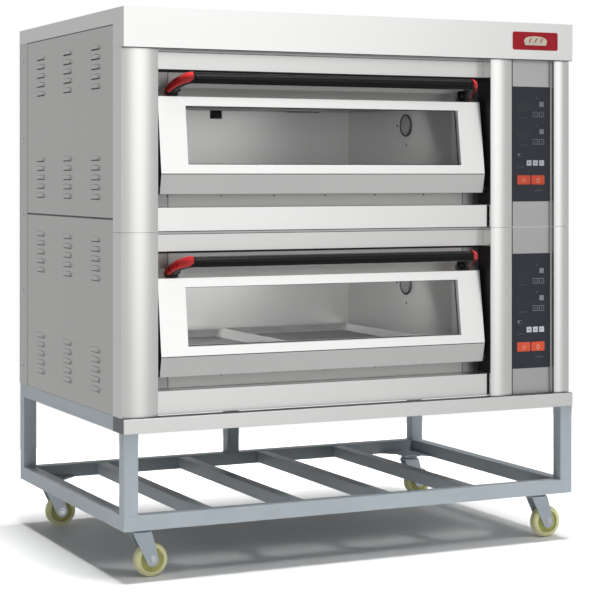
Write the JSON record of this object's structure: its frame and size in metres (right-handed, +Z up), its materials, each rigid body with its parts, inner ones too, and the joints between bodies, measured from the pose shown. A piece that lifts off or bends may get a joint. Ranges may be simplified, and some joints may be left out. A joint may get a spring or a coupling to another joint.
{
  "type": "deck oven",
  "caption": "Free-standing electric deck oven, stacked decks with glazed drop-down doors, keypads, louvred sides, slatted stand on swivel casters.",
  "frame": {"origin": "on the floor, at the middle of the object's bounding box", "axes": "+Z up; -Y towards the front, where the doors are; +X to the right when facing the doors"},
  "size_m": [1.228, 0.8414, 1.3225],
  "materials": {
    "stainless": "satin",
    "side_stainless": "satin",
    "chamber_steel": "satin",
    "hearth_steel": "matte",
    "heater_tube": "matte",
    "insulation": "matte",
    "door_lining": "satin",
    "door_glass": "polished",
    "lamp_glass": "gloss",
    "black_plastic": "satin",
    "bracket_plastic": "gloss",
    "keypad": "satin",
    "key_orange": "satin",
    "tray_aluminium": "satin",
    "stand_paint": "satin",
    "zinc": "satin",
    "wheel_plastic": "satin"
  },
  "bodies": {
    "oven": {"top_hood": "stainless", "rear_cover": "stainless", "insulated_casing": "insulation", "side_panel_left_lower": "side_stainless", "side_panel_left_upper": "side_stainless", "side_panel_right_lower": "side_stainless", "side_panel_right_upper": "side_stainless", "lower_left_pillar": "stainless", "lower_control_column": "stainless", "lower_control_unit": "keypad", "lower_lintel": "stainless", "lower_fascia": "stainless", "lower_chamber_liner": "chamber_steel", "lower_hearth_plate": "hearth_steel", "lower_lamp_cover": "lamp_glass", "lower_bottom_heater": "heater_tube", "lower_top_heater": "heater_tube", "upper_left_pillar": "stainless", "upper_control_column": "stainless", "upper_control_unit": "keypad", "upper_lintel": "stainless", "upper_fascia": "stainless", "upper_chamber_liner": "chamber_steel", "upper_hearth_plate": "hearth_steel", "upper_lamp_cover": "lamp_glass", "upper_bottom_heater": "heater_tube", "upper_top_heater": "heater_tube", "stand_upper_frame": "stand_paint", "stand_lower_frame": "stand_paint", "stand_front_cap": "stainless", "front_left_caster_plate": "zinc", "front_right_caster_plate": "zinc", "rear_left_caster_plate": "zinc", "rear_right_caster_plate": "zinc"},
    "lower_door": {"lower_door_shell": "stainless", "lower_door_inner_frame": "door_lining", "lower_door_glass": "door_glass", "lower_handle_bar": "black_plastic", "lower_handle_bracket_left": "bracket_plastic", "lower_handle_bracket_right": "bracket_plastic"},
    "lower_power_key": {"lower_power_key": "key_orange"},
    "lower_lamp_key": {"lower_lamp_key": "key_orange"},
    "upper_door": {"upper_door_shell": "stainless", "upper_door_inner_frame": "door_lining", "upper_door_glass": "door_glass", "upper_handle_bar": "black_plastic", "upper_handle_bracket_left": "bracket_plastic", "upper_handle_bracket_right": "bracket_plastic"},
    "upper_power_key": {"upper_power_key": "key_orange"},
    "upper_lamp_key": {"upper_lamp_key": "key_orange"},
    "tray_left": {"baking_tray_left": "tray_aluminium"},
    "tray_right": {"baking_tray_right": "tray_aluminium"},
    "front_left_swivel": {"front_left_yoke": "zinc"},
    "front_left_wheel": {"front_left_wheel": "wheel_plastic"},
    "front_right_swivel": {"front_right_yoke": "zinc"},
    "front_right_wheel": {"front_right_wheel": "wheel_plastic"},
    "rear_left_swivel": {"rear_left_yoke": "zinc"},
    "rear_left_wheel": {"rear_left_wheel": "wheel_plastic"},
    "rear_right_swivel": {"rear_right_yoke": "zinc"},
    "rear_right_wheel": {"rear_right_wheel": "wheel_plastic"}
  },
  "joints": [
    {"name": "lower_door_hinge", "type": "hinge", "parent": "oven", "child": "lower_door", "pos_m": [-0.0715, -0.35725, 0.476], "axis": [1, 0, 0], "range_deg": [0, 90]},
    {"name": "lower_power_key_press", "type": "slide", "parent": "oven", "child": "lower_power_key", "axis": [0, 1, 0], "range_m": [0, 0.001], "stiffness_N_per_m": 600},
    {"name": "lower_lamp_key_press", "type": "slide", "parent": "oven", "child": "lower_lamp_key", "axis": [0, 1, 0], "range_m": [0, 0.001], "stiffness_N_per_m": 600},
    {"name": "upper_door_hinge", "type": "hinge", "parent": "oven", "child": "upper_door", "pos_m": [-0.0715, -0.35725, 0.902], "axis": [1, 0, 0], "range_deg": [0, 90]},
    {"name": "upper_power_key_press", "type": "slide", "parent": "oven", "child": "upper_power_key", "axis": [0, 1, 0], "range_m": [0, 0.001], "stiffness_N_per_m": 600},
    {"name": "upper_lamp_key_press", "type": "slide", "parent": "oven", "child": "upper_lamp_key", "axis": [0, 1, 0], "range_m": [0, 0.001], "stiffness_N_per_m": 600},
    {"name": "tray_left_slide", "type": "slide", "parent": "oven", "child": "tray_left", "axis": [0, -1, 0], "range_m": [0, 0.012]},
    {"name": "tray_right_slide", "type": "slide", "parent": "oven", "child": "tray_right", "axis": [0, -1, 0], "range_m": [0, 0.04]},
    {"name": "front_left_swivel_turn", "type": "hinge", "parent": "oven", "child": "front_left_swivel", "pos_m": [-0.545, -0.32925, 0.11], "axis": [0, 0, 1], "continuous": true},
    {"name": "front_left_wheel_spin", "type": "hinge", "parent": "front_left_swivel", "child": "front_left_wheel", "pos_m": [-0.519, -0.32925, 0.04], "axis": [0, 1, 0], "continuous": true},
    {"name": "front_right_swivel_turn", "type": "hinge", "parent": "oven", "child": "front_right_swivel", "pos_m": [0.545, -0.32925, 0.11], "axis": [0, 0, 1], "continuous": true},
    {"name": "front_right_wheel_spin", "type": "hinge", "parent": "front_right_swivel", "child": "front_right_wheel", "pos_m": [0.571, -0.32925, 0.04], "axis": [0, 1, 0], "continuous": true},
    {"name": "rear_left_swivel_turn", "type": "hinge", "parent": "oven", "child": "rear_left_swivel", "pos_m": [-0.545, 0.35075, 0.11], "axis": [0, 0, 1], "continuous": true},
    {"name": "rear_left_wheel_spin", "type": "hinge", "parent": "rear_left_swivel", "child": "rear_left_wheel", "pos_m": [-0.519, 0.35075, 0.04], "axis": [0, 1, 0], "continuous": true},
    {"name": "rear_right_swivel_turn", "type": "hinge", "parent": "oven", "child": "rear_right_swivel", "pos_m": [0.545, 0.35075, 0.11], "axis": [0, 0, 1], "continuous": true},
    {"name": "rear_right_wheel_spin", "type": "hinge", "parent": "rear_right_swivel", "child": "rear_right_wheel", "pos_m": [0.571, 0.35075, 0.04], "axis": [0, 1, 0], "continuous": true}
  ]
}
